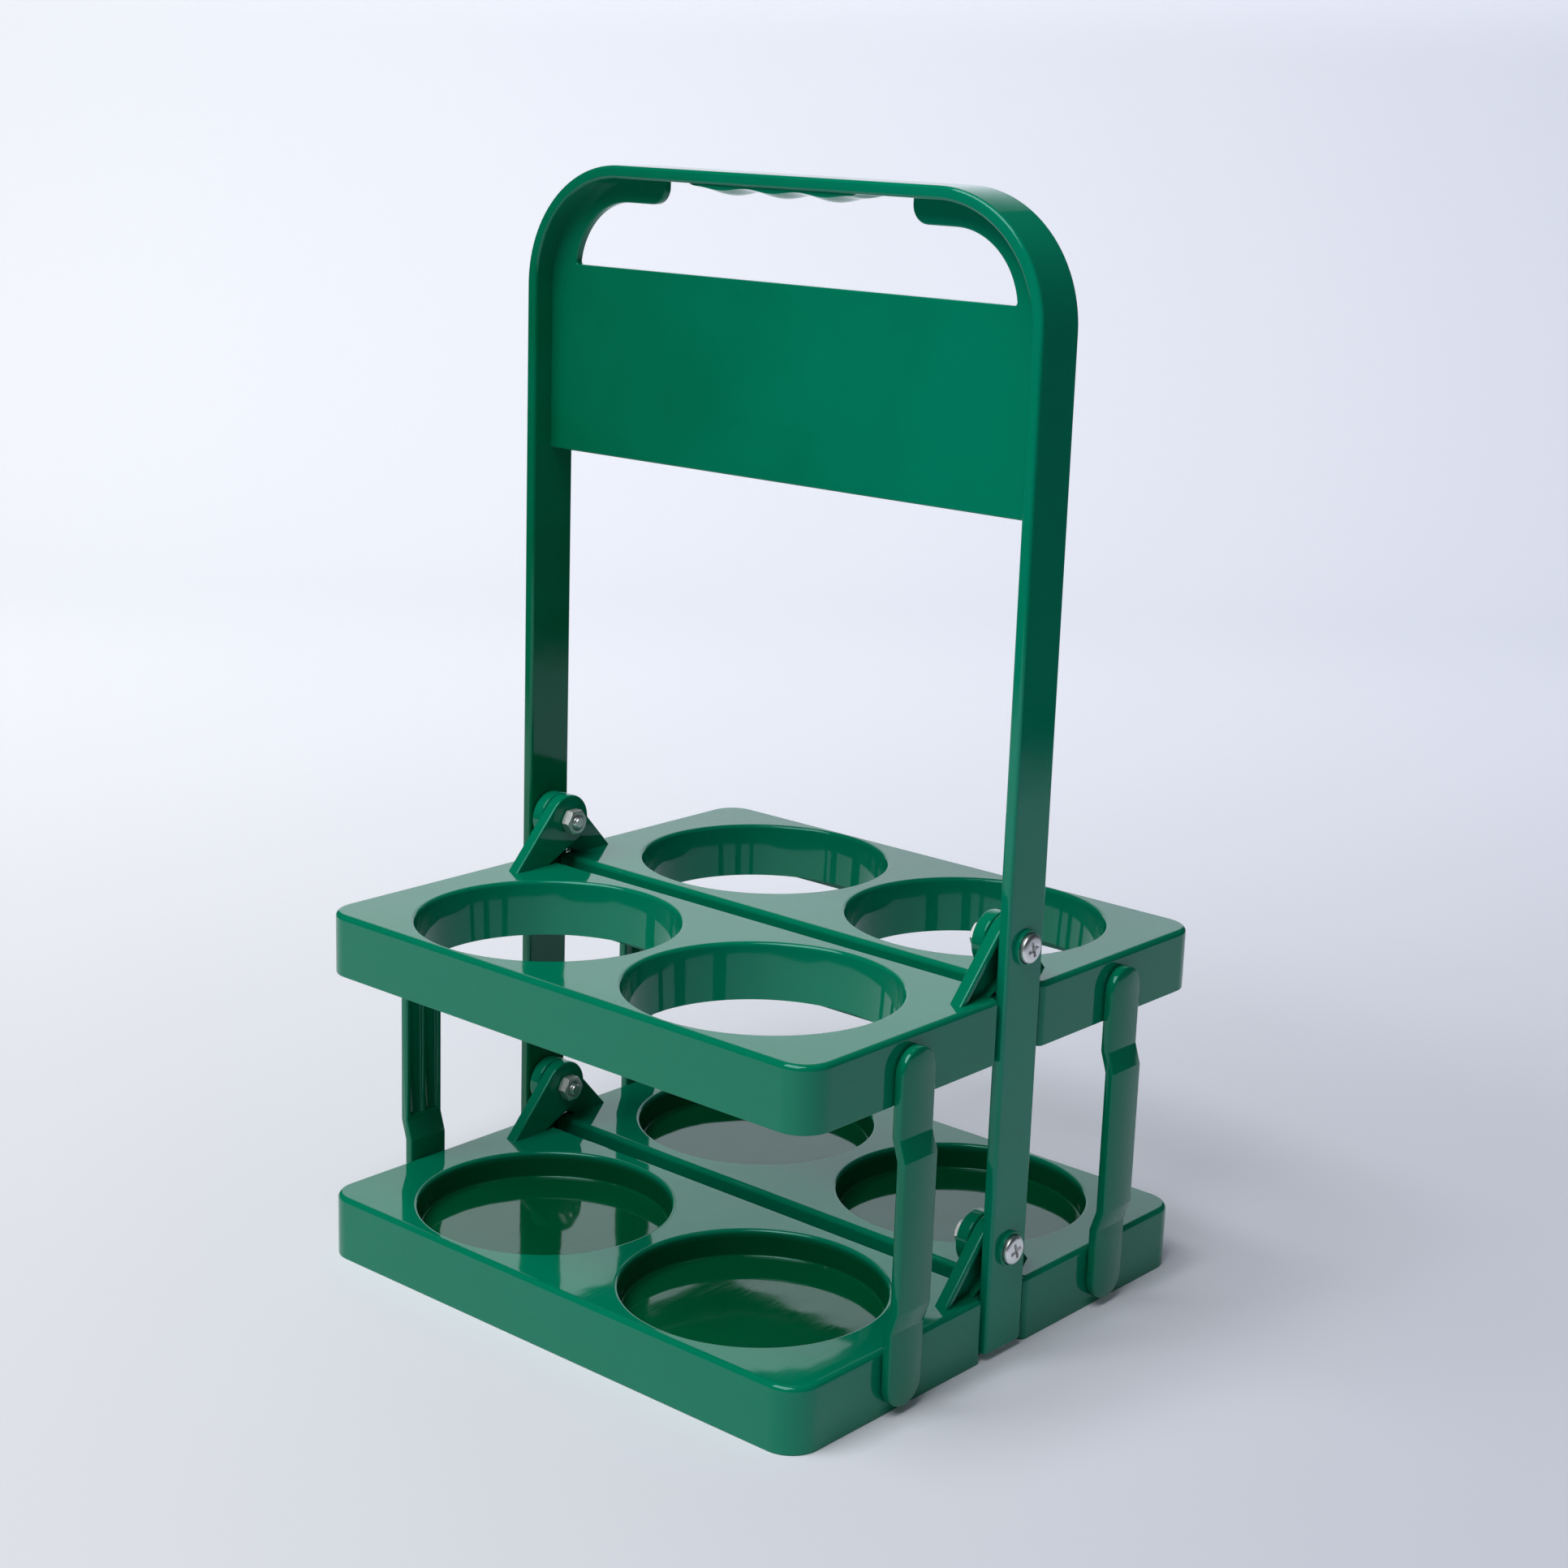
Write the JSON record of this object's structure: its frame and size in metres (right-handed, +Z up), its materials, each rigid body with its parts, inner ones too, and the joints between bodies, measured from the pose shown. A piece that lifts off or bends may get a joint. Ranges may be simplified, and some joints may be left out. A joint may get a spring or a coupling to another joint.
{
  "type": "foldable drink carrier",
  "caption": "Green plastic drink carrier with a tall handle frame and hinged half trays, rings above and cups below, that fold up flat against the frame.",
  "frame": {"origin": "on the surface it stands on, under the middle of the carrier", "axes": "+Z up, X along the grip, Y from the front half trays to the back ones"},
  "size_m": [0.1924, 0.174, 0.3133],
  "materials": {
    "frame_plastic": "glossy moulded green",
    "tray_plastic": "glossy moulded green",
    "strap_plastic": "glossy moulded green",
    "screw_steel": "bright zinc plate",
    "nut_steel": "bright zinc plate"
  },
  "bodies": {
    "frame": {"handle_frame": "frame_plastic", "lower_left_screw": "screw_steel", "lower_left_nut": "nut_steel", "lower_right_screw": "screw_steel", "lower_right_nut": "nut_steel", "upper_left_screw": "screw_steel", "upper_left_nut": "nut_steel", "upper_right_screw": "screw_steel", "upper_right_nut": "nut_steel"},
    "lower_front_half": {"lower_front_tray": "tray_plastic"},
    "upper_front_half": {"upper_front_tray": "tray_plastic"},
    "front_left_tie": {"front_left_strap": "strap_plastic"},
    "front_right_tie": {"front_right_strap": "strap_plastic"},
    "lower_back_half": {"lower_back_tray": "tray_plastic"},
    "upper_back_half": {"upper_back_tray": "tray_plastic"},
    "back_left_tie": {"back_left_strap": "strap_plastic"},
    "back_right_tie": {"back_right_strap": "strap_plastic"}
  },
  "joints": [
    {"name": "front_fold", "type": "hinge", "parent": "frame", "child": "lower_front_half", "pos_m": [0, 0, 0.0315], "axis": [-1, 0, 0], "range_deg": [0, 90]},
    {"name": "front_upper_fold", "type": "hinge", "parent": "frame", "child": "upper_front_half", "pos_m": [0, 0, 0.1176], "axis": [-1, 0, 0], "range_deg": [0, 90]},
    {"name": "front_left_strap_pivot", "type": "hinge", "parent": "lower_front_half", "child": "front_left_tie", "pos_m": [-0.0914, -0.0465, 0.009], "axis": [-1, 0, 0], "range_deg": [-90, 0]},
    {"name": "front_right_strap_pivot", "type": "hinge", "parent": "lower_front_half", "child": "front_right_tie", "pos_m": [0.0914, -0.0465, 0.009], "axis": [-1, 0, 0], "range_deg": [-90, 0]},
    {"name": "back_fold", "type": "hinge", "parent": "frame", "child": "lower_back_half", "pos_m": [0, 0, 0.0315], "axis": [1, 0, 0], "range_deg": [0, 90]},
    {"name": "back_upper_fold", "type": "hinge", "parent": "frame", "child": "upper_back_half", "pos_m": [0, 0, 0.1176], "axis": [1, 0, 0], "range_deg": [0, 90]},
    {"name": "back_left_strap_pivot", "type": "hinge", "parent": "lower_back_half", "child": "back_left_tie", "pos_m": [-0.0914, 0.0465, 0.009], "axis": [1, 0, 0], "range_deg": [-90, 0]},
    {"name": "back_right_strap_pivot", "type": "hinge", "parent": "lower_back_half", "child": "back_right_tie", "pos_m": [0.0914, 0.0465, 0.009], "axis": [1, 0, 0], "range_deg": [-90, 0]}
  ],
  "couplings": [
    {"joint": "front_upper_fold", "follows": "front_fold", "ratio": 1},
    {"joint": "front_left_strap_pivot", "follows": "front_fold", "ratio": -1},
    {"joint": "front_right_strap_pivot", "follows": "front_fold", "ratio": -1},
    {"joint": "back_upper_fold", "follows": "back_fold", "ratio": 1},
    {"joint": "back_left_strap_pivot", "follows": "back_fold", "ratio": -1},
    {"joint": "back_right_strap_pivot", "follows": "back_fold", "ratio": -1}
  ]
}
